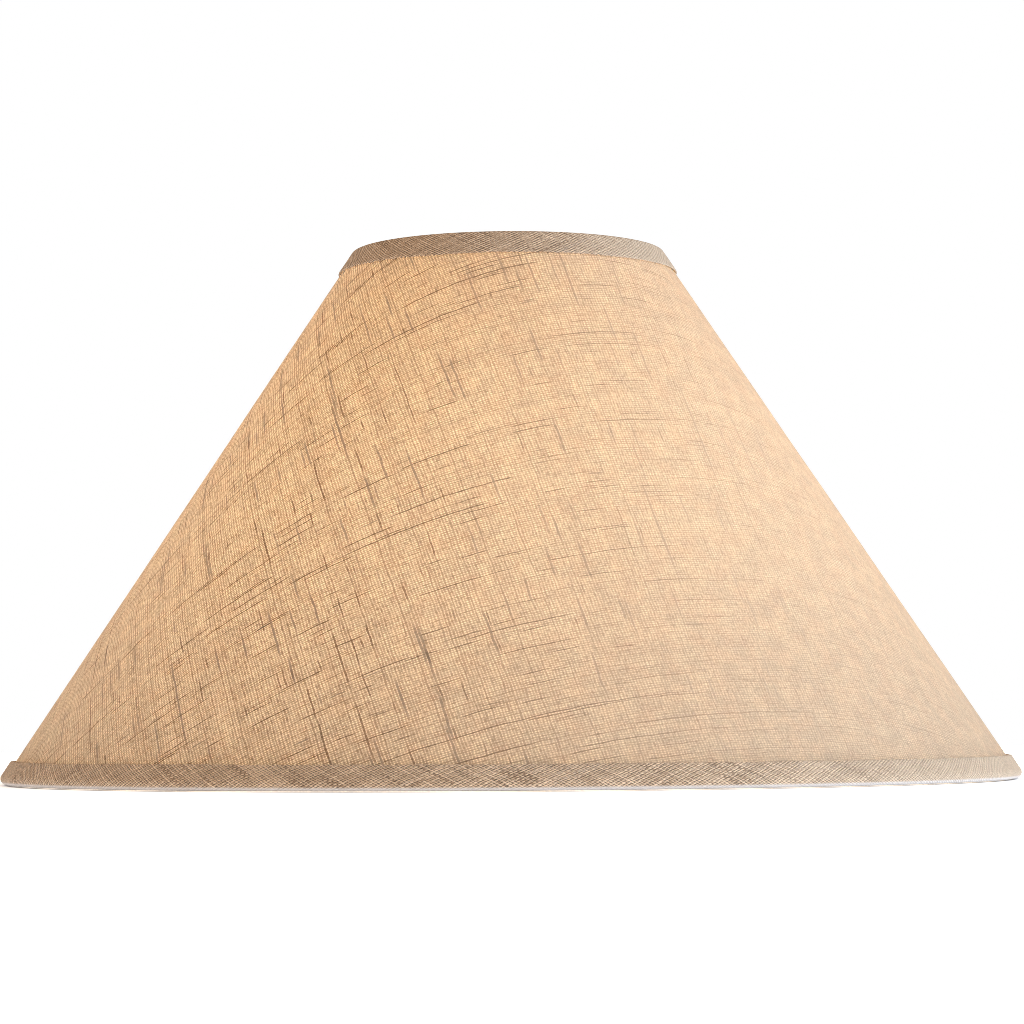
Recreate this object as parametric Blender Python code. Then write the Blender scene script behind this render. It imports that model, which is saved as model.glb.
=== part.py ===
"""A cone-shaped hardback lamp shade.

Two wire rings, a three-armed spider with a hub washer, a stiff liner with its seam tape, a linen cover, and
a bias-cut trim folded round each edge. Metres, +Z up. The origin is the centre of the lower opening, level
with the lowest edge, so the shade stands on the plane z = 0 and its axis is the Z axis.
"""

import math

import bmesh
import bpy
from mathutils import Matrix

MM = 0.001

# Driving dimensions of the cone. The wall is measured up its slope, and outward from the cover's face.
HEIGHT = 253.7 * MM
FOOT_RADIUS = 241.5 * MM        # the cover's outer face, carried down to z = 0
HALF_ANGLE = math.radians(33.54)        # between the wall and the axis
SEGMENTS = 72

# The laminated wall, from the outside in, and the clearance between pieces that touch.
GAP = 0.3 * MM
COVER_THICKNESS = 0.6 * MM
LINER_THICKNESS = 0.4 * MM
COVER_INSIDE = -COVER_THICKNESS
LINER_OUTSIDE = COVER_INSIDE - GAP
LINER_INSIDE = LINER_OUTSIDE - LINER_THICKNESS
WALL_FOOT = 2.5 * MM        # where the laminate starts, up the slope
WALL_TOP = 302.6 * MM       # where it ends

# The wire frame.
WIRE_RADIUS = 1.5 * MM
WIRE_SIDES = 8
RING_OUT = LINER_INSIDE - GAP - WIRE_RADIUS
SPIDER_DROP = 12.7 * MM         # the washer's top face below the top of the upper ring
ARM_COUNT = 3
FIRST_ARM_ANGLE = math.radians(90)
ARM_END_RADIUS = 8 * MM         # where an arm stops under the washer
ARM_BEND_RADIUS = 22 * MM       # where it starts to climb towards the ring
ARM_BEND_STEPS = 4
WASHER_RADIUS = 12.7 * MM
WASHER_HOLE_RADIUS = 5.55 * MM
WASHER_THICKNESS = 2 * MM
WASHER_SEGMENTS = 48

# The trims: each has an outer leg on the cover, a rounded corner, and a tuck round the ring.
TRIM_CLOTH = 0.8 * MM
TUCK_RADIUS = WIRE_RADIUS + GAP + TRIM_CLOTH
TUCK_PAST_WALL = math.radians(30)       # how far the tuck goes on, past the wall's own direction
TOP_TRIM_FACE = 1.2 * MM
TOP_TRIM_EDGE = 290.9 * MM      # the outer leg's free edge, up the slope
TOP_CORNER_RADIUS = 2.3 * MM
BOTTOM_TRIM_FACE = 2.1 * MM
BOTTOM_TRIM_EDGE = 12.1 * MM
BOTTOM_CORNER_RADIUS = 2.8 * MM
TUCK_STEPS = 5
CORNER_STEPS = 3
CORNER_INSIDE_STEPS = 2

# The slot that each arm passes through in the top trim's tuck.
SLOT_HALF_WIDTH = 2.2 * MM
SLOT_INNER_RADIUS = 60 * MM
SLOT_OUTER_RADIUS = 74.3 * MM
SLOT_FLOOR = 245.5 * MM
SLOT_ROOF = 252.6 * MM

# The tape that closes the liner's seam, at the back of the shade.
SEAM_ANGLE = math.radians(120)
TAPE_WIDTH = 12 * MM
TAPE_THICKNESS = 0.3 * MM
TAPE_FACE = LINER_INSIDE - 2 * GAP
TAPE_FOOT = 14 * MM
TAPE_TOP = 290 * MM

MERGE_DISTANCE = 0.001 * MM
BOTTOM, TOP = -1, 1


def wall_radius(height, out):
    """Radius of the point at this height, `out` metres outward from the cover's face."""
    return FOOT_RADIUS - height * math.tan(HALF_ANGLE) + out / math.cos(HALF_ANGLE)


def wall_point(along, out):
    """(radius, height) of the point `along` metres up the slope and `out` metres outward."""
    height = along * math.cos(HALF_ANGLE) + out * math.sin(HALF_ANGLE)
    return wall_radius(height, out), height


def arc(centre, radius, start, end, steps):
    """Points of an arc in the (radius, height) plane, both ends included."""
    points = []
    for step in range(steps + 1):
        angle = start + (end - start) * step / steps
        points.append((centre[0] + radius * math.cos(angle), centre[1] + radius * math.sin(angle)))
    return points


def new_material(name, colour, roughness, metallic=0.0):
    material = bpy.data.materials.new(name)
    material.use_nodes = True
    shader = material.node_tree.nodes["Principled BSDF"]
    shader.inputs["Base Color"].default_value = (*colour, 1.0)
    shader.inputs["Roughness"].default_value = roughness
    shader.inputs["Metallic"].default_value = metallic
    return material


def new_object(name, data, material, parent=None):
    data.materials.append(material)
    made = bpy.data.objects.new(name, data)
    made.parent = parent
    bpy.context.scene.collection.objects.link(made)
    return made


def new_empty(name, height=0.0):
    made = bpy.data.objects.new(name, None)
    made.location = (0, 0, height)
    bpy.context.scene.collection.objects.link(made)
    return made


def mesh_of(name, bm, smooth=True):
    bmesh.ops.recalc_face_normals(bm, faces=bm.faces)
    mesh = bpy.data.meshes.new(name)
    bm.to_mesh(mesh)
    bm.free()
    if smooth:
        mesh.shade_smooth()
        mesh.set_sharp_from_angle(angle=math.radians(40))
    return mesh


def turned(name, outline, material, segments=SEGMENTS, parent=None):
    """A closed outline in the (radius, height) plane, spun once round the Z axis."""
    bm = bmesh.new()
    corners = [bm.verts.new((radius, 0, height)) for radius, height in outline]
    edges = [bm.edges.new((corners[index - 1], corners[index])) for index in range(len(corners))]
    bmesh.ops.spin(
        bm, geom=corners + edges, cent=(0, 0, 0), axis=(0, 0, 1), angle=math.tau, steps=segments, use_merge=True
    )
    bmesh.ops.remove_doubles(bm, verts=bm.verts, dist=MERGE_DISTANCE)
    return new_object(name, mesh_of(name, bm), material, parent)


def box_between(name, low, high, material, parent=None):
    """A box that spans two opposite corners."""
    bm = bmesh.new()
    bmesh.ops.create_cube(bm, size=1)
    size = [end - start for start, end in zip(low, high)]
    middle = [(end + start) / 2 for start, end in zip(low, high)]
    bmesh.ops.transform(bm, matrix=Matrix.LocRotScale(middle, None, size), verts=bm.verts)
    return new_object(name, mesh_of(name, bm, smooth=False), material, parent)


def ring_centre(end):
    """(radius, height) of the wire ring at one end of the wall, tucked into its trim."""
    height = TUCK_RADIUS if end == BOTTOM else HEIGHT - TUCK_RADIUS
    return wall_radius(height, RING_OUT), height


def make_ring(name, end, material):
    outline = arc(ring_centre(end), WIRE_RADIUS, 0, math.tau, WIRE_SIDES)[:-1]
    return turned(name, outline, material)


def make_wall_layer(name, outside, inside, material):
    """One layer of the laminate, between two distances from the cover's face."""
    outline = [
        wall_point(WALL_FOOT, outside),
        wall_point(WALL_TOP, outside),
        wall_point(WALL_TOP, inside),
        wall_point(WALL_FOOT, inside),
    ]
    return turned(name, outline, material)


def trim_outline(end, edge, face, corner_radius):
    """The cloth's section: down the cover, round the edge of the wall, and round the ring.

    `end` is BOTTOM or TOP, `edge` the free edge's place up the slope, and `face` how far the outer leg stands
    out from the cover.
    """
    straight = end * math.radians(90)
    corner_height = corner_radius if end == BOTTOM else HEIGHT - corner_radius
    corner = (wall_radius(corner_height, face - corner_radius), corner_height)
    corner_inside = corner_radius - TRIM_CLOTH
    leg_meets_corner = HALF_ANGLE + end * math.acos((GAP - face + corner_radius) / corner_inside)
    ring = ring_centre(end)
    tuck_end = HALF_ANGLE + end * (math.radians(270) + TUCK_PAST_WALL)
    return [
        wall_point(edge, GAP),
        wall_point(edge, face),
        *arc(corner, corner_radius, HALF_ANGLE, straight, CORNER_STEPS),
        *arc(ring, TUCK_RADIUS, straight, tuck_end, TUCK_STEPS),
        *arc(ring, TUCK_RADIUS - TRIM_CLOTH, tuck_end, straight, TUCK_STEPS),
        *arc(corner, corner_inside, straight, leg_meets_corner, CORNER_INSIDE_STEPS),
    ]


def cut(target, cutter):
    """Takes the cutter out of the target, and leaves the cutter as a hidden guide."""
    cutter.hide_render = True
    cutter.display_type = "WIRE"
    modifier = target.modifiers.new(cutter.name, "BOOLEAN")
    modifier.operation = "DIFFERENCE"
    modifier.solver = "EXACT"
    modifier.object = cutter


def make_top_trim(material):
    outline = trim_outline(TOP, TOP_TRIM_EDGE, TOP_TRIM_FACE, TOP_CORNER_RADIUS)
    trim = turned("top_trim", outline, material)
    for index in range(ARM_COUNT):
        slot = box_between(
            f"arm_slot_{index + 1}",
            (SLOT_INNER_RADIUS, -SLOT_HALF_WIDTH, SLOT_FLOOR),
            (SLOT_OUTER_RADIUS, SLOT_HALF_WIDTH, SLOT_ROOF),
            material,
        )
        slot.rotation_euler.z = arm_angle(index)
        cut(trim, slot)
    return trim


def arm_angle(index):
    return FIRST_ARM_ANGLE + index * math.tau / ARM_COUNT


def arm_path():
    """An arm's centre line along +X: level under the washer, a soft bend, then straight up to the ring."""
    ring_radius, ring_height = ring_centre(TOP)
    start_height = washer_top() - WASHER_THICKNESS - GAP - WIRE_RADIUS
    rise = ring_height - start_height
    run = ring_radius - ARM_BEND_RADIUS
    climb = math.atan2(rise, run)
    points = [(ARM_END_RADIUS, start_height)]
    bend_reach = (ARM_BEND_RADIUS - ARM_END_RADIUS) / 2
    for step in range(ARM_BEND_STEPS + 1):
        share = step / ARM_BEND_STEPS
        radius = ARM_BEND_RADIUS + bend_reach * (2 * share - 1)
        points.append((radius, start_height + rise / run * bend_reach * share * share))
    clear = WIRE_RADIUS + GAP
    points.append((ring_radius - clear * math.cos(climb), ring_height - clear * math.sin(climb)))
    return points


def washer_top():
    return ring_centre(TOP)[1] + WIRE_RADIUS - SPIDER_DROP


def make_spider(material):
    """The washer and its arms, on an empty at the washer's top face."""
    spider = new_empty("spider", washer_top())
    outline = [
        (WASHER_HOLE_RADIUS, -WASHER_THICKNESS),
        (WASHER_RADIUS, -WASHER_THICKNESS),
        (WASHER_RADIUS, 0),
        (WASHER_HOLE_RADIUS, 0),
    ]
    turned("hub_washer", outline, material, WASHER_SEGMENTS, spider)

    curve = bpy.data.curves.new("spider_arm", "CURVE")
    curve.dimensions = "3D"
    curve.bevel_depth = WIRE_RADIUS
    curve.bevel_resolution = WIRE_SIDES // 2 - 2
    curve.use_fill_caps = True
    points = arm_path()
    spline = curve.splines.new("POLY")
    spline.points.add(len(points) - 1)
    for point, (radius, height) in zip(spline.points, points):
        point.co = (radius, 0, height - washer_top(), 1)
    curve.materials.append(material)
    for index in range(ARM_COUNT):
        arm = bpy.data.objects.new(f"spider_arm_{index + 1}", curve)
        arm.parent = spider
        arm.rotation_euler.z = arm_angle(index)
        bpy.context.scene.collection.objects.link(arm)


def make_seam_tape(material):
    """A flat strip up the liner's inner face, laid out along +X and then turned to the seam."""
    tape = box_between(
        "seam_tape",
        (TAPE_FACE - TAPE_THICKNESS, -TAPE_WIDTH / 2, TAPE_FOOT),
        (TAPE_FACE, TAPE_WIDTH / 2, TAPE_TOP),
        material,
        new_empty("seam"),
    )
    tape.parent.rotation_euler.z = SEAM_ANGLE
    tape.location.x = FOOT_RADIUS
    tape.rotation_euler.y = -HALF_ANGLE
    return tape


def main():
    for leftover in list(bpy.data.objects):
        bpy.data.objects.remove(leftover)

    steel = new_material("plated_steel", (0.62, 0.61, 0.58), 0.35, 1.0)
    styrene = new_material("liner_styrene", (0.86, 0.85, 0.82), 0.5)
    linen = new_material("cover_linen", (0.72, 0.60, 0.46), 0.9)
    bias_linen = new_material("trim_linen", (0.55, 0.46, 0.36), 0.9)
    tape = new_material("seam_tape", (0.83, 0.81, 0.76), 0.45)

    make_ring("bottom_ring", BOTTOM, steel)
    make_ring("top_ring", TOP, steel)
    make_spider(steel)
    make_wall_layer("cover", 0, COVER_INSIDE, linen)
    make_wall_layer("liner", LINER_OUTSIDE, LINER_INSIDE, styrene)
    make_seam_tape(tape)
    bottom_outline = trim_outline(BOTTOM, BOTTOM_TRIM_EDGE, BOTTOM_TRIM_FACE, BOTTOM_CORNER_RADIUS)
    turned("bottom_trim", bottom_outline, bias_linen)
    make_top_trim(bias_linen)


main()
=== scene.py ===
"""The looks of a cone-shaped linen lamp shade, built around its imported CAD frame. Metres, +Z up.

The wall is measured as in the CAD part: `along` metres up its slope, and `out` metres outward from the
cover's outer face.
"""

import math

import bmesh
import bpy
from mathutils import Matrix, Vector, noise


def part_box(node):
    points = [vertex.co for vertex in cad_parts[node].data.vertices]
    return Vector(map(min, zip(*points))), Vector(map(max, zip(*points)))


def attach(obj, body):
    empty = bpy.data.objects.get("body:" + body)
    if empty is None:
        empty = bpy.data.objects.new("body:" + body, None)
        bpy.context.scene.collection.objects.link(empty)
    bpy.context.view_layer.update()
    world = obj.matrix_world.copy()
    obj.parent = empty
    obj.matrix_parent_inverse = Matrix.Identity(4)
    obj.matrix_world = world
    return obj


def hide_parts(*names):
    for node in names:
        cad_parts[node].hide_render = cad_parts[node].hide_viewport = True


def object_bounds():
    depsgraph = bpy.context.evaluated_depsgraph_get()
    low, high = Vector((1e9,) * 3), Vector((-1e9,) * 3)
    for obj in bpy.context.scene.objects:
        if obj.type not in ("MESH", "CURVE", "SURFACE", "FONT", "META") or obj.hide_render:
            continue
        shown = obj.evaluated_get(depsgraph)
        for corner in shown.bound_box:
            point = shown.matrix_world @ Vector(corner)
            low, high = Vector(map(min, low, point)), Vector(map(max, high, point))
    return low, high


MM = 0.001

# The wall's two ends, as the sign of the way along its slope that leads there.
BOTTOM, TOP = -1, 1

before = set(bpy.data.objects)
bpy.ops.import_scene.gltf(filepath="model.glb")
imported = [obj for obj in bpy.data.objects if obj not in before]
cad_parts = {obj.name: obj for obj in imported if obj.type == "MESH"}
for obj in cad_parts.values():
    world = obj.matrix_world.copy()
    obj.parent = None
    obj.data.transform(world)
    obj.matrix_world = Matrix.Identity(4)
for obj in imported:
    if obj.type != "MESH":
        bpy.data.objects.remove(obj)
cad_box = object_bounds()


def cover_line():
    """(radius, height) of the lowest and of the highest point on the CAD cover's outer face."""
    points = [vertex.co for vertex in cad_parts["cover"].data.vertices]
    foot = max(points, key=lambda point: math.hypot(point.x, point.y))
    head = max(points, key=lambda point: point.z)
    return (math.hypot(foot.x, foot.y), foot.z), (math.hypot(head.x, head.y), head.z)


def ring_facts(node):
    """(radius, height, wire radius) of a CAD ring."""
    low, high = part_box(node)
    wire = (high.z - low.z) / 2
    return high.x - wire, (low.z + high.z) / 2, wire


# The cone, from the CAD cover's outer face.
(LINE_FOOT_RADIUS, LINE_FOOT_HEIGHT), (LINE_HEAD_RADIUS, LINE_HEAD_HEIGHT) = cover_line()
HALF_ANGLE = math.atan2(LINE_FOOT_RADIUS - LINE_HEAD_RADIUS, LINE_HEAD_HEIGHT - LINE_FOOT_HEIGHT)
FOOT_RADIUS = LINE_FOOT_RADIUS + LINE_FOOT_HEIGHT * math.tan(HALF_ANGLE)
HEIGHT = cad_box[1].z
WALL_FOOT = LINE_FOOT_HEIGHT / math.cos(HALF_ANGLE)
WALL_TOP = LINE_HEAD_HEIGHT / math.cos(HALF_ANGLE)
APEX_REACH = FOOT_RADIUS / math.sin(HALF_ANGLE)     # up the slope, from z = 0 to the cone's apex
SEAM_ANGLE = math.radians(120)

RINGS = {BOTTOM: ring_facts("bottom_ring"), TOP: ring_facts("top_ring")}

# The laminated wall.
GAP = 0.3 * MM
COVER_THICKNESS = 0.6 * MM
LINER_OUTSIDE = -COVER_THICKNESS - GAP
LINER_THICKNESS = 0.4 * MM
LINER_INSIDE = LINER_OUTSIDE - LINER_THICKNESS
WALL_COLUMNS = 360
WALL_ROWS = 40
WAVE_SIZE = 45 * MM         # the cloth's slow unevenness
WAVE_HEIGHT = 0.12 * MM
SHARP_ANGLE = math.radians(50)

# The cover's seam: its end laps over its start, and is turned under along its edge.
LAP_WIDTH = 12 * MM
LAP_LIFT = 0.75 * MM
LAP_RAMP = 14 * MM
HEM_WIDTH = 7 * MM
HEM_LIFT = 0.5 * MM
HEM_RAMP = 2 * MM
LAP_DROP = 1.5 * MM         # a trim settles back this far past the lap's edge

# The tape on the liner's seam.
TAPE_WIDTH = 12 * MM
TAPE_FOOT = 15 * MM
TAPE_TOP = 288 * MM
TAPE_FACE = LINER_INSIDE - 0.15 * MM
TAPE_THICKNESS = 0.15 * MM
TAPE_COLUMNS = 12
TAPE_ROWS = 120
TAPE_RIPPLE = 0.1 * MM
TAPE_RIPPLE_SIZE = 9 * MM

# The trims.
TRIM_CLOTH = 0.8 * MM
TRIM_COLUMNS = 720
TUCK_PAST_WALL = math.radians(30)
TRIM_JOIN_LAP = 10 * MM
TRIM_JOIN_RAMP = 5 * MM
TRIM_JOIN_OFFSET = math.radians(9)      # from the cover's seam
EDGE_WANDER = 0.35 * MM
EDGE_WANDER_SIZE = 26 * MM
PUCKER_HEIGHT = 0.16 * MM
PUCKER_SIZE = 5.5 * MM
TUCK_WANDER = math.radians(12)
TUCK_WANDER_SIZE = 9 * MM
NOTCH_HALF_WIDTH = 2.3 * MM
NOTCH_RAMP = 1.6 * MM
NOTCH_END = math.radians(150)
FOLD_STEPS = 4
LEG_STEPS = 7
CORNER_STEPS = 6
FLAT_STEPS = 2
TUCK_STEPS = 14

TRIMS = {
    BOTTOM: {"face": 2.1 * MM, "edge": 12.1 * MM, "corner_radius": 2.8 * MM, "seed": 11.3},
    TOP: {"face": 1.2 * MM, "edge": 290.9 * MM, "corner_radius": 2.3 * MM, "seed": 3.7},
}

# The wire frame.
RING_COLUMNS = 360
WIRE_SIDES = 20
ARM_END_RADIUS = 8 * MM
ARM_BEND_RADIUS = 22 * MM
ARM_BEND_STEPS = 12
ARM_STEPS = 24
WELD_OVERLAP = 0.8          # of the wire's radius is left between an arm's end and the ring's centre
WELD_REACH = 3.2 * MM
WELD_GROWTH = 0.45
FLAT_END_REACH = 5 * MM
FLAT_END_STEPS = 4
FLAT_END_HEIGHT = 0.55      # of the round wire's, where it is pressed flat
WASHER_EDGE_RADIUS = 0.35 * MM
WASHER_EDGE_STEPS = 4
WASHER_COLUMNS = 96

# The linen. Lengths are along a thread; widths and the wobble are shares of the pitch. `start` is how
# high a noise must rise before there is a hair or a slub, and `apart` is how much neighbours differ.
GRAIN_LENGTH = 2.6 * MM
DRIFT_SIZE = 17 * MM        # over which the threads wander
DRIFT = 0.8 * MM
WOBBLE_LENGTH = 7 * MM
WOBBLE = 0.4
GRAIN_APART = 3.7
WOBBLE_APART = 5.1
HAIR_APART = 7.3
STREAK_RAMP = 0.1           # of noise, over which a hair or a slub comes in
WIDTH_BY_THREAD = 0.35
WIDTH_BY_GRAIN = 0.7
WIDTH_LEAST = 0.475
SLUB_SWELLING = 0.2
TINT_BY_THREAD = 0.75
TINT_BY_PARITY = 0.12
TINT_LEAST = 0.125
OVER_SHARE = 0.3            # of a thread's height, that it rises and falls over and under others
BLOCK_TINT_POWER = 2.5      # a deep thread keeps back more light than a pale one
BLOCK_BY_TINT = 0.32
BLOCK_BY_GRAIN = 0.36
BLOCK_BY_OVER = 0.10
THREAD_LIGHT_KEPT = 0.97    # the most light that a thread keeps back
THREADS = {
    "warp": {
        "pitch": 1.35 * MM, "width": 0.68, "blocks": 0.52, "seed": 3.0,
        "hair_length": 20 * MM, "hair_start": 0.74, "hair_depth": 0.5,
        "slub_length": 46 * MM, "slub_start": 0.75, "slub_apart": 3.1,
    },
    "weft": {
        "pitch": 1.12 * MM, "width": 0.66, "blocks": 0.46, "seed": 71.0,
        "hair_length": 40 * MM, "hair_start": 0.675, "hair_depth": 0.75,
        "slub_length": 20 * MM, "slub_start": 0.84, "slub_apart": 1.3,
    },
}
SLUB_DEPTH = 0.62
SLUB_SMOKE = 0.3            # how grey a slub is against the light
STRAY_ON_FACE = 0.55        # how much of a stray's darkness shows on the face
FUZZ_SIZE = 1.1 * MM
COVER_RELIEF = 0.3 * MM
TRIM_RELIEF = 0.5 * MM
PATCH_SIZE = 9 * MM         # the cover's slow changes of shade and tint
TRIM_PATCH_SIZE = 5 * MM

# Painted light: where the light would flatten the threads, they are painted more even: along X on the cover
# (and at its far left edge), and as X over the radius on the trims.
PAINTED_FLAT_FROM = -0.13
PAINTED_FLAT_TO = 0.13
PAINTED_FLAT_LEFT_FROM = -0.11
PAINTED_FLAT_LEFT_TO = -0.21
PAINTED_FLAT_LEFT_MOST = 0.4
PAINTED_FLAT_ON_FACE = 0.85            # shares of the painted flattening that reach the face, the passing light and the strays
PAINTED_FLAT_ON_LIGHT = 0.6
PAINTED_FLAT_ON_STRAYS = 0.85
PAINTED_FLAT_PASSING = 0.40         # the even share of light painted in where the cloth is painted flattest
TRIM_PAINTED_FLAT_FROM = 0.2
TRIM_PAINTED_FLAT_TO = 1.0
TRIM_PAINTED_FLAT_MOST = 0.7

PAINTED_UNDERLIGHT_EDGE = 2.0 * MM        # the lowest strip of the bottom trim, painted pale as if lit from the floor below
PAINTED_UNDERLIGHT_MOST = 0.9
TRIM_FULLNESS = 1.28        # how much closer the folded cloth of a trim looks
TRIM_THREAD_ANGLE = math.radians(30)    # from its run: cut at 45 degrees, then pulled tight


def rgba(red, green, blue):
    return (red, green, blue, 1.0)


# The thread colours are those of a pale and a deep thread, a dark hair and a dull slub. The glow colours
# are for cloth that passes no light and all of it.
COVER_THREAD_COLOURS = (
    rgba(0.68, 0.55, 0.42), rgba(0.52, 0.40, 0.28), rgba(0.34, 0.24, 0.16), rgba(0.46, 0.40, 0.35),
)
COVER_GAP_COLOUR = rgba(0.84, 0.74, 0.62)
# Painted light: the even colour that the cover's face is painted where the light would flatten its threads.
COVER_PAINTED_FLAT_COLOUR = rgba(0.67, 0.59, 0.495)
GLOW_COLOURS = rgba(0.06, 0.02, 0.01), rgba(1.0, 0.88, 0.70)
GLOW_SLUB_COLOUR = rgba(0.36, 0.31, 0.28)
GLOW_TINT_COLOUR = rgba(0.75, 0.30, 0.12)
TRIM_THREAD_COLOURS = (
    rgba(0.86, 0.69, 0.53), rgba(0.56, 0.42, 0.30), rgba(0.40, 0.285, 0.195), rgba(0.56, 0.46, 0.38),
)
# Painted light: the even colour that the trims are painted on their side toward +X, where the key light
# falls.
TRIM_PAINTED_FLAT_COLOUR = rgba(0.60, 0.50, 0.395)
# Painted light: the pale grey of the bottom trim's lowest strip, as lit from the floor below.
PAINTED_UNDERLIGHT_COLOUR = rgba(0.78, 0.77, 0.79)

# The camera: in front, just above the height of the lower edge, and tilted slightly up.
CAMERA_DISTANCE = 1.6
CAMERA_HEIGHT = 29.9 * MM
CAMERA_PITCH = 0.0615
CAMERA_YAW = 0.0008
CAMERA_ROLL = -0.0067
CAMERA_LENS_MM = 117.2

# The stage. The softboxes hang SOFTBOX_DISTANCE from the shade's middle.
SOFTBOX_DISTANCE = 1.6
SOFTBOX_ELEVATION = math.radians(20)
SOFTBOX_SIZE = 0.9
BULB_SIZE = 0.03
FLOOR_DROP = 0.4 * MM
FLOOR_GLOW = 0.87
CONTACT_SHADOW = 25 * MM    # how far it reaches from the lower edge
FLOOR_RADIUS = 1.6
FLOOR_SEGMENTS = 96
FLOOR_CLOUD_SIZE = 0.3


def smooth(start, end, value):
    """0 before start, 1 after end, and a smooth ramp between them."""
    share = min(1.0, max(0.0, (value - start) / (end - start)))
    return share * share * (3 - 2 * share)


def mix(first, second, share):
    return first + (second - first) * share


def wall_radius(height, out):
    return FOOT_RADIUS - height * math.tan(HALF_ANGLE) + out / math.cos(HALF_ANGLE)


def wall_point(along, out):
    """(radius, height) of the point `along` metres up the slope and `out` metres outward."""
    height = along * math.cos(HALF_ANGLE) + out * math.sin(HALF_ANGLE)
    return wall_radius(height, out), height


def place(angle, radius, height):
    return Vector((radius * math.cos(angle), radius * math.sin(angle), height))


def noise_round(angle, radius, size, seed=0.0):
    """Smooth noise, about -1 to 1, that closes on itself round the shade."""
    return noise.noise(place(angle, radius, seed * size) / size)


def turn_from(angle, reference):
    """The signed angle from reference to angle, between -pi and pi."""
    return (angle - reference + math.pi) % math.tau - math.pi


# ---------------------------------------------------------------------------------------------- meshes


def build_mesh(name, points, faces, materials, slots=None, pattern=None):
    mesh = bpy.data.meshes.new(name)
    mesh.from_pydata(points, [], faces)
    for material in materials:
        mesh.materials.append(material)
    if slots:
        mesh.polygons.foreach_set("material_index", slots)
    if pattern:
        attribute = mesh.attributes.new("pattern", "FLOAT_VECTOR", "POINT")
        flat_numbers = [number for flat in pattern for number in (*flat, 0.0)]
        attribute.data.foreach_set("vector", flat_numbers)
    bm = bmesh.new()
    bm.from_mesh(mesh)
    bmesh.ops.recalc_face_normals(bm, faces=bm.faces)
    bm.to_mesh(mesh)
    bm.free()
    mesh.shade_smooth()
    mesh.set_sharp_from_angle(angle=SHARP_ANGLE)
    made = bpy.data.objects.new(name, mesh)
    bpy.context.scene.collection.objects.link(made)
    return made


def sheet_mesh(name, columns, closed, outer_material, inner_material=None):
    """A thin sheet with two faces. Each column is a list of (outer point, inner point, pattern place)."""
    rows = len(columns[0])
    count = len(columns)
    points = []
    pattern = []
    for column in columns:
        outer_points, inner_points, flats = zip(*column)
        points += outer_points + inner_points
        pattern += flats * 2

    def outer(column, row):
        return column % count * 2 * rows + row

    def inner(column, row):
        return outer(column, row) + rows

    faces = []
    slots = []
    inner_slot = 1 if inner_material else 0
    for column in range(count if closed else count - 1):
        after = column + 1
        for row in range(rows - 1):
            up = row + 1
            faces.append((outer(column, row), outer(after, row), outer(after, up), outer(column, up)))
            faces.append((inner(column, row), inner(column, up), inner(after, up), inner(after, row)))
            slots += [0, inner_slot]
        for row in (0, rows - 1):
            faces.append((outer(column, row), inner(column, row), inner(after, row), outer(after, row)))
            slots.append(0)
    if not closed:
        for column in (0, count - 1):
            for row in range(rows - 1):
                up = row + 1
                faces.append((outer(column, row), outer(column, up), inner(column, up), inner(column, row)))
                slots.append(0)
    materials = [outer_material, inner_material] if inner_material else [outer_material]
    return build_mesh(name, points, faces, materials, slots, pattern)


def tube_mesh(name, sections, closed, material):
    """A skin over a row of sections, each a ring of the same number of points."""
    sides = len(sections[0])
    count = len(sections)
    points = [point for section in sections for point in section]
    faces = []
    for index in range(count if closed else count - 1):
        start = index * sides
        following = (index + 1) % count * sides
        for side in range(sides):
            after = (side + 1) % sides
            faces.append((start + side, following + side, following + after, start + after))
    if not closed:
        faces.append(tuple(range(sides)))
        faces.append(tuple(range((count - 1) * sides, count * sides)))
    return build_mesh(name, points, faces, [material])


def settle(piece, slot, *nodes):
    """Rides the piece on the shade's body, in place of these CAD nodes."""
    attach(piece, "root")
    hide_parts(*nodes)
    return piece


# ------------------------------------------------------------------------------------- cover and liner


def sheet_angle(share, radius, lap):
    """Angle of the point at this share of a sheet that goes once round and laps over its own start."""
    start = SEAM_ANGLE - lap / 2 / radius
    return start + share * (math.tau + lap / radius)


def seam_lift(to_end):
    """How far the cover's cloth stands out, `to_end` metres before its lapping end: (whole cloth, hem)."""
    lift = LAP_LIFT * (1 - smooth(LAP_WIDTH, LAP_WIDTH + LAP_RAMP, to_end))
    hem = HEM_LIFT * (1 - smooth(HEM_WIDTH - HEM_RAMP, HEM_WIDTH, to_end))
    return lift, hem


def wave(angle, radius, height):
    return WAVE_HEIGHT * noise.noise(place(angle, radius, height) / WAVE_SIZE)


def wall_columns(outside, thickness, lap):
    """Columns of one layer of the wall. A layer with a lap lifts over its own start."""
    columns = []
    for step in range(WALL_COLUMNS + 1):
        share = step / WALL_COLUMNS
        column = []
        for row in range(WALL_ROWS + 1):
            along = mix(WALL_FOOT, WALL_TOP, row / WALL_ROWS)
            radius, height = wall_point(along, 0)
            angle = sheet_angle(share, radius, lap)
            lift, hem = seam_lift((1 - share) * (math.tau * radius + lap)) if lap else (0, 0)
            face = outside + lift + wave(angle, radius, height)
            reach = APEX_REACH - along
            turn = (share - 0.5) * (math.tau + lap / radius) * math.sin(HALF_ANGLE)
            column.append((
                place(angle, *wall_point(along, face + hem)),
                place(angle, *wall_point(along, face - thickness)),
                (reach * math.sin(turn), reach * math.cos(turn)),
            ))
        columns.append(column)
    return columns


def make_cover(linen, backing):
    piece = sheet_mesh("cover_cloth", wall_columns(0, COVER_THICKNESS, LAP_WIDTH), False, linen, backing)
    settle(piece, "cover_linen", "cover")
    return piece


def make_liner(styrene, backing):
    columns = wall_columns(LINER_OUTSIDE, LINER_THICKNESS, 0)
    piece = sheet_mesh("liner_sheet", columns[:-1], True, backing, styrene)
    return settle(piece, "liner_styrene", "liner")


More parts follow.
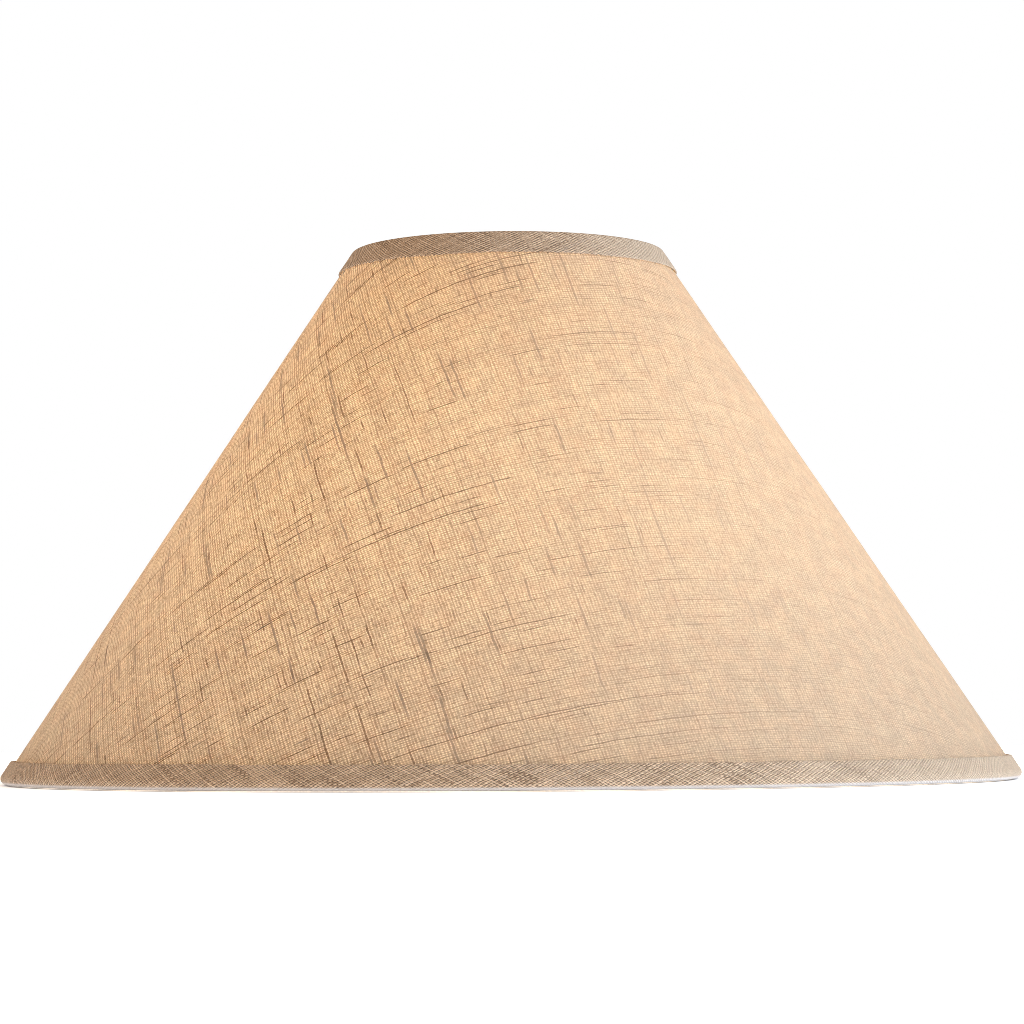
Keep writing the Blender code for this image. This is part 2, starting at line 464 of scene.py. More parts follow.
def make_tape(material):
    """The strip over the liner's seam, bent to the cone, with a slightly rippled edge."""
    columns = []
    for step in range(TAPE_COLUMNS + 1):
        across = (step / TAPE_COLUMNS - 0.5) * TAPE_WIDTH
        column = []
        for row in range(TAPE_ROWS + 1):
            along = mix(TAPE_FOOT, TAPE_TOP, row / TAPE_ROWS)
            radius, unused = wall_point(along, 0)
            angle = SEAM_ANGLE + across / radius
            ripple = (1 + noise.noise(Vector((across, along, 0)) / TAPE_RIPPLE_SIZE)) / 2
            face = TAPE_FACE - TAPE_RIPPLE * ripple
            column.append((
                place(angle, *wall_point(along, face)),
                place(angle, *wall_point(along, face - TAPE_THICKNESS)),
                (across, along),
            ))
        columns.append(column)
    return settle(sheet_mesh("liner_tape", columns, False, material), "seam_tape", "seam_tape")


# ----------------------------------------------------------------------------------------------- trims


def arm_angles():
    angles = []
    for index in (1, 2, 3):
        low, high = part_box(f"spider_arm_{index}")
        middle = (low + high) / 2
        angles.append(math.atan2(middle.y, middle.x))
    return angles


def arc_point(centre, radius, angle):
    return centre[0] + radius * math.cos(angle), centre[1] + radius * math.sin(angle)


def trim_section(end, tuck_end, leg_gap):
    """(outer, inner) pairs of (radius, height) through a trim's cloth, from free edge to tucked end.

    `leg_gap` is the room between the cover's face and the leg.
    """
    facts = TRIMS[end]
    face = facts["face"]
    corner_radius = facts["corner_radius"]
    straight = end * math.radians(90)
    corner_height = corner_radius if end == BOTTOM else HEIGHT - corner_radius
    corner = (wall_radius(corner_height, face - corner_radius), corner_height)
    corner_rise = (face - corner_radius) * math.sin(HALF_ANGLE)
    corner_along = (corner_height - corner_rise) / math.cos(HALF_ANGLE)
    corner_inside = corner_radius - TRIM_CLOTH
    inside_turn = math.acos(max(-1.0, min(1.0, (leg_gap - face + corner_radius) / corner_inside)))
    inside_along = corner_along + end * corner_inside * math.sin(inside_turn)
    ring_radius, ring_height, unused = RINGS[end]
    tuck_radius = ring_height if end == BOTTOM else HEIGHT - ring_height

    pairs = []
    fold = (face - leg_gap) / 2
    for step in range(FOLD_STEPS):
        turn = math.radians(90) * (1 - step / FOLD_STEPS)
        along = facts["edge"] + end * fold * (1 - math.sin(turn))
        middle = leg_gap + fold
        pairs.append((
            wall_point(along, middle + fold * math.cos(turn)),
            wall_point(along, middle - fold * math.cos(turn)),
        ))
    leg_start = facts["edge"] + end * fold
    for step in range(LEG_STEPS + 1):
        share = step / LEG_STEPS
        pairs.append((
            wall_point(mix(leg_start, corner_along, share), face),
            wall_point(mix(leg_start, inside_along, share), leg_gap),
        ))
    for step in range(1, CORNER_STEPS + 1):
        share = step / CORNER_STEPS
        outer_turn = mix(HALF_ANGLE, straight, share)
        inner_turn = mix(HALF_ANGLE + end * inside_turn, straight, share)
        pairs.append((
            arc_point(corner, corner_radius, outer_turn),
            arc_point(corner, corner_inside, inner_turn),
        ))
    for step in range(1, FLAT_STEPS + 1):
        share = step / FLAT_STEPS
        radius = mix(corner[0], ring_radius, share)
        edge_height = 0.0 if end == BOTTOM else HEIGHT
        pairs.append(((radius, edge_height), (radius, edge_height - end * TRIM_CLOTH)))
    centre = (ring_radius, ring_height)
    for step in range(1, TUCK_STEPS + 1):
        turn = mix(straight, tuck_end, step / TUCK_STEPS)
        pairs.append((
            arc_point(centre, tuck_radius, turn),
            arc_point(centre, tuck_radius - TRIM_CLOTH, turn),
        ))
    return pairs


def developed(pairs):
    """Distance of each pair's outer point from the free edge, along the cloth."""
    lengths = [0.0]
    for before, after in zip(pairs, pairs[1:]):
        lengths.append(lengths[-1] + math.dist(before[0], after[0]))
    return lengths


def lap_under_trim(to_lap_end):
    """How far the cover's lap pushes a trim out, `to_lap_end` metres before the lap's edge."""
    if to_lap_end > 0:
        return sum(seam_lift(to_lap_end))
    return sum(seam_lift(0)) * (1 - smooth(0, LAP_DROP, -to_lap_end))


def trim_columns(end):
    """Columns of one trim, from its start to the end that laps over it."""
    full_tuck = HALF_ANGLE + end * (math.radians(270) + TUCK_PAST_WALL)
    plain = trim_section(end, full_tuck, GAP)
    plain_lengths = developed(plain)
    leg_pairs = FOLD_STEPS + LEG_STEPS + 1
    corner_pairs = leg_pairs + CORNER_STEPS
    flat_end = plain_lengths[corner_pairs + FLAT_STEPS - 1]
    leg_end = plain_lengths[leg_pairs - 1]
    ring_radius = RINGS[end][0]
    round_length = math.tau * ring_radius
    arms = arm_angles() if end == TOP else []
    seed = TRIMS[end]["seed"]
    columns = []
    for step in range(TRIM_COLUMNS + 1):
        share = step / TRIM_COLUMNS
        middle_angle = SEAM_ANGLE + TRIM_JOIN_OFFSET + share * math.tau
        lap_end = SEAM_ANGLE + LAP_WIDTH / 2 / ring_radius
        cover_stands = lap_under_trim(-turn_from(middle_angle, lap_end) * ring_radius)
        push = max(0.0, GAP + cover_stands + TRIM_CLOTH - TRIMS[end]["face"])
        arm_distances = [abs(turn_from(middle_angle, arm)) * ring_radius for arm in arms]
        nearest_arm = min(arm_distances, default=round_length)
        notch = 1 - smooth(NOTCH_HALF_WIDTH, NOTCH_HALF_WIDTH + NOTCH_RAMP, nearest_arm)
        wander = TUCK_WANDER * noise_round(middle_angle, ring_radius, TUCK_WANDER_SIZE, seed)
        tuck_end = mix(full_tuck - end * abs(wander), NOTCH_END, notch)
        pairs = trim_section(end, tuck_end, GAP + cover_stands - push)
        lengths = developed(pairs)
        edge_shift = EDGE_WANDER * noise_round(middle_angle, ring_radius, EDGE_WANDER_SIZE, seed + 5)
        column = []
        for index, (outer, inner) in enumerate(pairs):
            length = lengths[index]
            on_leg = 1 - smooth(0, leg_end, length)
            on_front = 1 - smooth(leg_end, flat_end, length)
            lap = TRIM_JOIN_LAP * on_front
            slant = (length - leg_end / 2) * on_front
            run = share * (round_length + lap) - lap / 2 + slant
            angle = SEAM_ANGLE + TRIM_JOIN_OFFSET + run / ring_radius
            to_end = (1 - share) * (round_length + lap)
            on_join = 1 - smooth(TRIM_JOIN_LAP, TRIM_JOIN_LAP + TRIM_JOIN_RAMP, to_end)
            join_lift = TRIM_CLOTH * on_front * on_join
            pucker_seed = seed + length / PUCKER_SIZE / 2
            pucker = PUCKER_HEIGHT * on_leg * noise_round(angle, ring_radius, PUCKER_SIZE, pucker_seed)
            outward = push * on_front + join_lift + pucker
            upward = edge_shift * on_leg
            flat = (-end * run, length)
            column.append((
                place(angle, *shifted(outer, outward, upward)),
                place(angle, *shifted(inner, outward, upward)),
                flat,
            ))
        columns.append(column)
    return columns, plain_lengths[-1]


def shifted(point, outward, upward):
    """A (radius, height) point moved off the wall's face and up its slope."""
    radius, height = point
    return (
        radius + outward * math.cos(HALF_ANGLE) - upward * math.sin(HALF_ANGLE),
        height + outward * math.sin(HALF_ANGLE) + upward * math.cos(HALF_ANGLE),
    )


def make_trim(name, node, end, linen):
    columns, width = trim_columns(end)
    piece = sheet_mesh(name, columns, False, linen)
    settle(piece, "trim_linen", node)
    return piece


# ------------------------------------------------------------------------------------------ wire frame


def make_ring(name, node, end, steel):
    radius, height, wire = RINGS[end]
    sections = []
    for column in range(RING_COLUMNS):
        angle = math.tau * column / RING_COLUMNS
        section = []
        for side in range(WIRE_SIDES):
            turn = math.tau * side / WIRE_SIDES
            section.append(place(angle, radius + wire * math.cos(turn), height + wire * math.sin(turn)))
        sections.append(section)
    return settle(tube_mesh(name, sections, True, steel), "plated_steel", node)


def washer_facts():
    """(top height, thickness, outer radius) of the CAD washer."""
    low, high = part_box("hub_washer")
    return high.z, high.z - low.z, high.x


def arm_path():
    """An arm's centre line as (radius, height): level under the washer, a bend, then up to the ring."""
    ring_radius, ring_height, wire = RINGS[TOP]
    top, thickness, unused = washer_facts()
    start_height = top - thickness - wire
    slope = (ring_height - start_height) / (ring_radius - ARM_BEND_RADIUS)
    bend_reach = (ARM_BEND_RADIUS - ARM_END_RADIUS) / 2
    points = []
    for step in range(FLAT_END_STEPS):
        points.append((ARM_END_RADIUS + FLAT_END_REACH * step / FLAT_END_STEPS, start_height))
    for step in range(ARM_BEND_STEPS + 1):
        share = step / ARM_BEND_STEPS
        radius = ARM_BEND_RADIUS + bend_reach * (2 * share - 1)
        points.append((radius, start_height + slope * bend_reach * share * share))
    bend_end = points[-1]
    contact = ring_radius - wire * WELD_OVERLAP
    for step in range(1, ARM_STEPS + 1):
        radius = mix(bend_end[0], contact, step / ARM_STEPS)
        points.append((radius, bend_end[1] + slope * (radius - bend_end[0])))
    return points


def make_arm(number, angle, steel):
    """A wire that is pressed flat under the washer and swells into its weld on the ring."""
    path = arm_path()
    wire = RINGS[TOP][2]
    sections = []
    for index, (radius, height) in enumerate(path):
        before = path[max(0, index - 1)]
        after = path[min(len(path) - 1, index + 1)]
        climb = math.atan2(after[1] - before[1], after[0] - before[0])
        to_ring = path[-1][0] - radius
        weld = 1 + WELD_GROWTH * (1 - smooth(0, WELD_REACH, to_ring))
        pressed = 1 - smooth(FLAT_END_REACH * 0.6, FLAT_END_REACH * 1.4, radius - ARM_END_RADIUS)
        tall = wire * mix(1, FLAT_END_HEIGHT, pressed) * weld
        wide = wire * mix(1, 1 / FLAT_END_HEIGHT, pressed) * weld
        lift = wire * (1 - FLAT_END_HEIGHT) * pressed
        section = []
        for side in range(WIRE_SIDES):
            turn = math.tau * side / WIRE_SIDES
            sideways = wide * math.cos(turn)
            upward = tall * math.sin(turn)
            point_radius = radius - upward * math.sin(climb)
            point = Vector((point_radius, sideways, height + lift + upward * math.cos(climb)))
            section.append(Matrix.Rotation(angle, 3, "Z") @ point)
        sections.append(section)
    piece = tube_mesh(f"arm_wire_{number}", sections, False, steel)
    return settle(piece, "plated_steel", f"spider_arm_{number}")


def make_washer(steel):
    top, thickness, outer_radius = washer_facts()
    points = [vertex.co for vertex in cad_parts["hub_washer"].data.vertices]
    hole_radius = min(math.hypot(point.x, point.y) for point in points)
    corners = [
        (outer_radius - WASHER_EDGE_RADIUS, top - WASHER_EDGE_RADIUS, 0),
        (hole_radius + WASHER_EDGE_RADIUS, top - WASHER_EDGE_RADIUS, 90),
        (hole_radius + WASHER_EDGE_RADIUS, top - thickness + WASHER_EDGE_RADIUS, 180),
        (outer_radius - WASHER_EDGE_RADIUS, top - thickness + WASHER_EDGE_RADIUS, 270),
    ]
    outline = []
    for radius, height, start in corners:
        for step in range(WASHER_EDGE_STEPS + 1):
            turn = math.radians(start + 90 * step / WASHER_EDGE_STEPS)
            outline.append(arc_point((radius, height), WASHER_EDGE_RADIUS, turn))
    sections = []
    for column in range(WASHER_COLUMNS):
        angle = math.tau * column / WASHER_COLUMNS
        sections.append([place(angle, *point) for point in outline])
    return settle(tube_mesh("hub_washer_plate", sections, True, steel), "plated_steel", "hub_washer")


# ------------------------------------------------------------------------------------------- materials


class Graph:
    """Short calls that build one material's nodes."""

    def __init__(self, name):
        self.material = bpy.data.materials.new(name)
        self.material.use_nodes = True
        self.tree = self.material.node_tree
        self.tree.nodes.clear()

    def node(self, kind, **settings):
        made = self.tree.nodes.new(kind)
        for name, value in settings.items():
            setattr(made, name, value)
        return made

    def put(self, socket, value):
        """Links the socket to another node's output, or sets its own value."""
        if isinstance(value, bpy.types.NodeSocket):
            self.tree.links.new(value, socket)
        else:
            socket.default_value = value

    def math(self, operation, *values):
        made = self.node("ShaderNodeMath", operation=operation)
        for socket, value in zip(made.inputs, values):
            self.put(socket, value)
        return made.outputs[0]

    def add(self, *values):
        total = values[0]
        for value in values[1:]:
            total = self.math("ADD", total, value)
        return total

    def subtract(self, *values):
        return self.math("SUBTRACT", *values)

    def multiply(self, *values):
        total = values[0]
        for value in values[1:]:
            total = self.math("MULTIPLY", total, value)
        return total

    def ramp(self, value, start, end, low=0.0, high=1.0):
        """low up to start, high from end on, and smooth between."""
        made = self.node("ShaderNodeMapRange", interpolation_type="SMOOTHSTEP")
        for index, number in enumerate((value, start, end, low, high)):
            self.put(made.inputs[index], number)
        return made.outputs[0]

    def blend(self, share, first, second, kind="MIX"):
        """Mixes two colours."""
        made = self.node("ShaderNodeMix", data_type="RGBA", blend_type=kind)
        for index, value in ((0, share), (6, first), (7, second)):
            self.put(made.inputs[index], value)
        return made.outputs[2]

    def combine(self, x, y, z=0.0):
        made = self.node("ShaderNodeCombineXYZ")
        for socket, value in zip(made.inputs, (x, y, z)):
            self.put(socket, value)
        return made.outputs[0]

    def separate(self, vector):
        made = self.node("ShaderNodeSeparateXYZ")
        self.put(made.inputs[0], vector)
        return made.outputs[0], made.outputs[1], made.outputs[2]

    def vector_math(self, operation, first, second):
        made = self.node("ShaderNodeVectorMath", operation=operation)
        self.put(made.inputs[0], first)
        self.put(made.inputs[1], second)
        return made.outputs[0]

    def position(self):
        return self.node("ShaderNodeNewGeometry").outputs["Position"]

    def noise(self, vector, size, detail=0.0, dimensions="2D"):
        """(value, colour) of noise whose lumps are about `size` metres across."""
        made = self.node("ShaderNodeTexNoise", noise_dimensions=dimensions)
        self.put(made.inputs["Vector"], vector)
        self.put(made.inputs["Scale"], 1 / size)
        self.put(made.inputs["Detail"], detail)
        return made.outputs["Fac"], made.outputs["Color"]

    def white(self, value):
        """Three random numbers for each whole number."""
        made = self.node("ShaderNodeTexWhiteNoise", noise_dimensions="1D")
        self.put(made.inputs["W"], value)
        return made.outputs["Color"]

    def lerp(self, share, first, second):
        return self.add(self.multiply(first, self.subtract(1.0, share)), self.multiply(second, share))

    def shaded(self, colour, shade):
        """The colour times a grey."""
        return self.blend(1.0, colour, self.combine(shade, shade, shade), "MULTIPLY")

    def bump(self, height, distance, strength=1.0):
        made = self.node("ShaderNodeBump")
        self.put(made.inputs["Strength"], strength)
        self.put(made.inputs["Distance"], distance)
        self.put(made.inputs["Height"], height)
        return made.outputs[0]

    def principled(self, colour, roughness, normal=None, **values):
        made = self.node("ShaderNodeBsdfPrincipled")
        self.put(made.inputs["Base Color"], colour)
        self.put(made.inputs["Roughness"], roughness)
        if normal is not None:
            self.put(made.inputs["Normal"], normal)
        for name, value in values.items():
            self.put(made.inputs[name.replace("_", " ")], value)
        return made.outputs[0]

    def translucent(self, colour):
        made = self.node("ShaderNodeBsdfTranslucent")
        self.put(made.inputs["Color"], colour)
        return made.outputs[0]

    def mix_shader(self, share, first, second):
        made = self.node("ShaderNodeMixShader")
        self.put(made.inputs[0], share)
        self.put(made.inputs[1], first)
        self.put(made.inputs[2], second)
        return made.outputs[0]

    def finish(self, shader):
        output = self.node("ShaderNodeOutputMaterial")
        self.put(output.inputs["Surface"], shader)
        return self.material


def threads(graph, across, along, kind, fullness):
    """One set of parallel threads: `across` and `along` are metres over and along them.

    Gives its body (1 on a thread's middle line, 0 between threads) and what varies from place to place.
    """
    facts = THREADS[kind]
    count = graph.multiply(across, 1 / facts["pitch"])
    index = graph.math("FLOOR", count)
    offset = graph.subtract(graph.subtract(count, index), 0.5)
    parity = graph.math("COSINE", graph.multiply(index, math.pi))
    chances = graph.white(graph.add(index, facts["seed"]))
    width_chance, tint_chance, dark_chance = graph.separate(chances)
    along = graph.add(along, facts["seed"] * MM)

    def streak(length, apart, detail):
        """Noise stretched along the threads."""
        field = graph.combine(graph.multiply(index, apart * length), along)
        return graph.noise(field, length, detail)[0]

    grain = streak(GRAIN_LENGTH, GRAIN_APART, 1.0)
    wobble = graph.multiply(graph.subtract(streak(WOBBLE_LENGTH, WOBBLE_APART, 0.0), 0.5), WOBBLE)
    offset = graph.add(offset, wobble)
    # A few threads have hairs far more often than the rest.
    eager = graph.ramp(dark_chance, 0.88, 0.97, 0.0, 0.2)
    hair_noise = graph.add(streak(facts["hair_length"], HAIR_APART, 1.0), eager)
    hair = graph.ramp(hair_noise, facts["hair_start"], facts["hair_start"] + STREAK_RAMP)
    slub_noise = streak(facts["slub_length"], facts["slub_apart"], 0.0)
    slub = graph.ramp(slub_noise, facts["slub_start"], facts["slub_start"] + STREAK_RAMP)
    by_thread = graph.multiply(width_chance, WIDTH_BY_THREAD)
    by_grain = graph.multiply(grain, WIDTH_BY_GRAIN)
    width = graph.multiply(graph.add(by_thread, by_grain, WIDTH_LEAST), facts["width"] * fullness)
    width = graph.add(width, graph.multiply(slub, SLUB_SWELLING))
    edge = graph.math("DIVIDE", graph.math("ABSOLUTE", offset), graph.multiply(width, 0.5))
    inside = graph.math("MAXIMUM", graph.subtract(1.0, graph.multiply(edge, edge)), 0.0)
    body = graph.math("SQRT", inside)
    tint = graph.add(
        graph.multiply(tint_chance, TINT_BY_THREAD),
        graph.multiply(parity, TINT_BY_PARITY),
        TINT_LEAST,
    )
    return {
        "facts": facts,
        "count": count,
        "parity": parity,
        "tint": tint,
        "grain": grain,
        "hair": hair,
        "slub": slub,
        "body": body,
        "mask": graph.ramp(edge, 0.75, 1.1, 1.0, 0.0),
    }


def over_under(graph, set_, crossing, sign):
    """How far these threads ride over (1) or dive under (-1) the set they cross."""
    swing = graph.math("SINE", graph.multiply(crossing["count"], math.pi))
    return graph.multiply(swing, set_["parity"], sign)


def weave(graph, across, along, fullness):
    """Plain weave in flat pattern coordinates, in metres."""
    flat = graph.combine(across, along)
    unused, drift = graph.noise(flat, DRIFT_SIZE, 2.0)
    drift = graph.vector_math("SUBTRACT", drift, (0.5, 0.5, 0.5))
    drift_across, drift_along, unused = graph.separate(drift)
    across = graph.add(across, graph.multiply(drift_across, DRIFT))
    along = graph.add(along, graph.multiply(drift_along, DRIFT))
    warp = threads(graph, across, along, "warp", fullness)
    weft = threads(graph, along, across, "weft", fullness)
    warp["over"] = over_under(graph, warp, weft, 1.0)
    weft["over"] = over_under(graph, weft, warp, -1.0)
    for set_ in (warp, weft):
        lift = graph.add(graph.multiply(set_["over"], OVER_SHARE), 1 - OVER_SHARE)
        set_["height"] = graph.multiply(set_["body"], lift)
    return {
        "warp": warp,
        "weft": weft,
        "flat": flat,
        "height": graph.math("MAXIMUM", warp["height"], weft["height"]),
        "warp_on_top": graph.math("GREATER_THAN", warp["height"], weft["height"]),
        "covered": graph.math("MAXIMUM", warp["mask"], weft["mask"]),
    }


def thread_colour(graph, set_, pale, deep, dark, slub):
    """A set's colour: varied from thread to thread and along each, with dark hairs and dull slubs."""
    share = graph.multiply(graph.add(set_["tint"], set_["grain"]), 0.5)
    tinted = graph.blend(graph.ramp(share, 0.2, 0.8), pale, deep)
    haired = graph.blend(set_["hair"], tinted, dark)
    return graph.blend(graph.multiply(set_["slub"], 0.7), haired, slub)


def block(graph, set_):
    """The share of light that a set of threads keeps back."""
    facts = set_["facts"]
    strength = graph.add(
        graph.multiply(graph.math("POWER", set_["tint"], BLOCK_TINT_POWER), BLOCK_BY_TINT),
        graph.multiply(graph.ramp(set_["grain"], 0.56, 0.72), BLOCK_BY_GRAIN),
        graph.multiply(set_["over"], BLOCK_BY_OVER),
        facts["blocks"],
    )
    return graph.multiply(set_["body"], graph.math("MINIMUM", strength, THREAD_LIGHT_KEPT))


def stray(graph, set_):
    """The share of light that a set's dark hairs and slubs keep back."""
    strength = graph.add(
        graph.multiply(set_["hair"], set_["facts"]["hair_depth"]),
        graph.multiply(set_["slub"], SLUB_DEPTH),
    )
    return graph.multiply(set_["body"], strength)


def woven_face(graph, cloth, colours):
    """The colour of whichever thread is on top."""
    warp_face = thread_colour(graph, cloth["warp"], *colours)
    weft_face = thread_colour(graph, cloth["weft"], *colours)
    return graph.blend(cloth["warp_on_top"], weft_face, warp_face)


def pattern_place(graph):
    """(x, y) of a surface point in its sheet's flat pattern, in metres."""
    attribute = graph.node("ShaderNodeAttribute", attribute_name="pattern")
    across, along, unused = graph.separate(attribute.outputs["Vector"])
    return across, along


def cover_linen():
    """Open-weave linen with the lit liner showing through between its threads."""
    graph = Graph("cover_linen_cloth")
    across, along = pattern_place(graph)
    cloth = weave(graph, across, along, 1.0)
    warp = cloth["warp"]
    weft = cloth["weft"]
    patches, tints = graph.noise(cloth["flat"], PATCH_SIZE, 3.0)
    world_x, unused, unused = graph.separate(graph.position())
    # Painted light: a mask by X, and at the far left edge, of where the threads are painted more even.
    painted_flatness = graph.ramp(world_x, PAINTED_FLAT_FROM, PAINTED_FLAT_TO)
    painted_flatness_left = graph.ramp(world_x, PAINTED_FLAT_LEFT_TO, PAINTED_FLAT_LEFT_FROM, PAINTED_FLAT_LEFT_MOST, 0.0)
    painted_flatness = graph.math("MAXIMUM", painted_flatness, painted_flatness_left)
    fuzz, unused = graph.noise(cloth["flat"], FUZZ_SIZE, 1.0)

    face = woven_face(graph, cloth, COVER_THREAD_COLOURS)
    face = graph.blend(cloth["covered"], COVER_GAP_COLOUR, face)
    # Painted light: the face is painted an even colour where the light would flatten the threads.
    face = graph.blend(graph.multiply(painted_flatness, PAINTED_FLAT_ON_FACE), face, COVER_PAINTED_FLAT_COLOUR)
    strays = graph.math("MAXIMUM", stray(graph, warp), stray(graph, weft))
    # Painted light: the dark hairs and slubs are painted fainter there too.
    painted_stray_fading = graph.multiply(painted_flatness, painted_flatness, PAINTED_FLAT_ON_STRAYS)
    strays = graph.multiply(strays, graph.subtract(1.0, painted_stray_fading))
    face = graph.shaded(face, graph.subtract(1.0, graph.multiply(strays, STRAY_ON_FACE)))
    face = graph.shaded(face, graph.ramp(fuzz, 0.3, 0.7, 0.92, 1.08))

    past_warp = graph.subtract(1.0, block(graph, warp))
    past_weft = graph.subtract(1.0, block(graph, weft))
    passing = graph.multiply(past_warp, past_weft)
    # Painted light: the light passing the cloth is painted more even there.
    passing = graph.lerp(graph.multiply(painted_flatness, PAINTED_FLAT_ON_LIGHT), passing, PAINTED_FLAT_PASSING)
    passing = graph.multiply(passing, graph.ramp(fuzz, 0.3, 0.7, 0.88, 1.12))
    passing = graph.multiply(passing, graph.subtract(1.0, strays))
    passing = graph.multiply(passing, graph.ramp(patches, 0.3, 0.7, 0.83, 1.09))
    glow = graph.blend(graph.math("MINIMUM", passing, 1.0), *GLOW_COLOURS)
    smoky = graph.multiply(graph.math("MAXIMUM", warp["slub"], weft["slub"]), SLUB_SMOKE)
    glow = graph.blend(smoky, glow, GLOW_SLUB_COLOUR)
    glow = graph.blend(graph.ramp(tints, 0.35, 0.7, 0.0, 0.12), glow, GLOW_TINT_COLOUR)

    normal = graph.bump(cloth["height"], COVER_RELIEF, 0.2)
    front = graph.principled(face, 0.9, normal, Sheen_Weight=0.1, Sheen_Roughness=0.5)
    back = graph.translucent(glow)
    return graph.finish(graph.mix_shader(0.5, front, back))


def trim_linen():
    """The same linen cut on the bias, close and opaque over its own turned edge."""
    graph = Graph("trim_linen_cloth")
    run, length = pattern_place(graph)
    slanted_run = graph.multiply(run, 0.5 / math.cos(TRIM_THREAD_ANGLE))
    slanted_length = graph.multiply(length, 0.5 / math.sin(TRIM_THREAD_ANGLE))
    across = graph.add(slanted_run, slanted_length)
    along = graph.subtract(slanted_run, slanted_length)
    cloth = weave(graph, across, along, TRIM_FULLNESS)
    patches, unused = graph.noise(cloth["flat"], TRIM_PATCH_SIZE, 3.0)
    face = woven_face(graph, cloth, TRIM_THREAD_COLOURS)
    # Painted shade: the gaps between the threads are painted darker, and the thread tops a little lighter.
    face = graph.shaded(face, graph.ramp(cloth["height"], 0.3, 0.95, 0.3, 1.05))
    face = graph.shaded(face, graph.ramp(patches, 0.3, 0.7, 0.92, 1.05))
    x, y, height = graph.separate(graph.position())
    radius = graph.math("SQRT", graph.add(graph.multiply(x, x), graph.multiply(y, y)))
    rightness = graph.math("DIVIDE", x, radius)
    # Painted light: the side toward +X, where the key light falls, is painted in a more even colour.
    painted_flatness = graph.ramp(rightness, TRIM_PAINTED_FLAT_FROM, TRIM_PAINTED_FLAT_TO, 0.0, TRIM_PAINTED_FLAT_MOST)
    face = graph.blend(painted_flatness, face, TRIM_PAINTED_FLAT_COLOUR)
    # Painted light: the lowest strip of the bottom trim is painted pale grey, as lit from the floor below.
    painted_underlight = graph.ramp(height, PAINTED_UNDERLIGHT_EDGE * 0.4, PAINTED_UNDERLIGHT_EDGE, PAINTED_UNDERLIGHT_MOST, 0.0)
    face = graph.blend(painted_underlight, face, PAINTED_UNDERLIGHT_COLOUR)
    normal = graph.bump(cloth["height"], TRIM_RELIEF, 0.8)
    return graph.finish(graph.principled(face, 0.9, normal, Sheen_Weight=0.1, Sheen_Roughness=0.5))


def backing():
    """The two glued faces inside the wall, which hand on the light."""
    graph = Graph("wall_backing")
    front = graph.principled(rgba(0.95, 0.94, 0.92), 0.8)
    back = graph.translucent(rgba(0.98, 0.97, 0.95))
    return graph.finish(graph.mix_shader(0.95, front, back))


def liner_styrene():
    """White satin sheet that is lit right through."""
    graph = Graph("liner_styrene_sheet")
    position = graph.position()
    cloud, unused = graph.noise(position, 30 * MM, 4.0, "3D")
    grain, unused = graph.noise(position, 1.2 * MM, 1.0, "3D")
    colour = graph.blend(graph.ramp(cloud, 0.3, 0.7), rgba(0.86, 0.845, 0.81), rgba(0.90, 0.89, 0.87))
    roughness = graph.ramp(cloud, 0.25, 0.75, 0.38, 0.5)
    normal = graph.bump(grain, 0.05 * MM, 0.4)
    front = graph.principled(colour, roughness, normal)
    back = graph.translucent(rgba(0.96, 0.95, 0.92))
    return graph.finish(graph.mix_shader(0.8, front, back))


def seam_tape():
    """Clouded translucent film, a little glossier than the liner."""
    graph = Graph("liner_tape_film")
    position = graph.position()
    cloud, unused = graph.noise(position, 8 * MM, 3.0, "3D")
    colour = graph.blend(graph.ramp(cloud, 0.3, 0.7), rgba(0.82, 0.80, 0.74), rgba(0.88, 0.86, 0.81))
    roughness = graph.ramp(cloud, 0.3, 0.7, 0.25, 0.42)
    normal = graph.bump(cloud, 0.15 * MM, 0.5)
    front = graph.principled(colour, roughness, normal)
    back = graph.translucent(rgba(0.9, 0.87, 0.8))
    return graph.finish(graph.mix_shader(0.65, front, back))


def plated_steel():
    """Dull zinc plating with fine drawing marks and a few darker stains."""
    graph = Graph("plated_steel_wire")
    position = graph.position()
    stain, unused = graph.noise(position, 6 * MM, 5.0, "3D")
    scratch, unused = graph.noise(position, 0.5 * MM, 2.0, "3D")
    colour = graph.blend(graph.ramp(stain, 0.35, 0.7), rgba(0.66, 0.65, 0.62), rgba(0.47, 0.45, 0.42))
    roughness = graph.add(graph.ramp(stain, 0.3, 0.75, 0.24, 0.46), graph.multiply(scratch, 0.1))
    normal = graph.bump(scratch, 0.06 * MM, 0.5)
    return graph.finish(graph.principled(colour, roughness, normal, Metallic=1.0))


# ------------------------------------------------------------------------------------ camera and light


def make_camera():
    data = bpy.data.cameras.new("camera")
    data.lens = CAMERA_LENS_MM
    data.sensor_width = 36
    data.clip_end = 50
    camera = bpy.data.objects.new("camera", data)
    bpy.context.scene.collection.objects.link(camera)
    aim = Matrix.Rotation(-CAMERA_YAW, 4, "Z") @ Matrix.Rotation(math.radians(90) + CAMERA_PITCH, 4, "X")
    roll = Matrix.Rotation(CAMERA_ROLL, 4, "Z")
    camera.matrix_world = Matrix.Translation((0, -CAMERA_DISTANCE, CAMERA_HEIGHT)) @ aim @ roll
    bpy.context.scene.camera = camera


def add_bulb(name, location, power, colour):
    data = bpy.data.lights.new(name, "POINT")
    data.energy = power
    data.color = colour
    data.shadow_soft_size = BULB_SIZE
    lamp = bpy.data.objects.new(name, data)
    lamp.location = location
    lamp.visible_camera = False
    bpy.context.scene.collection.objects.link(lamp)


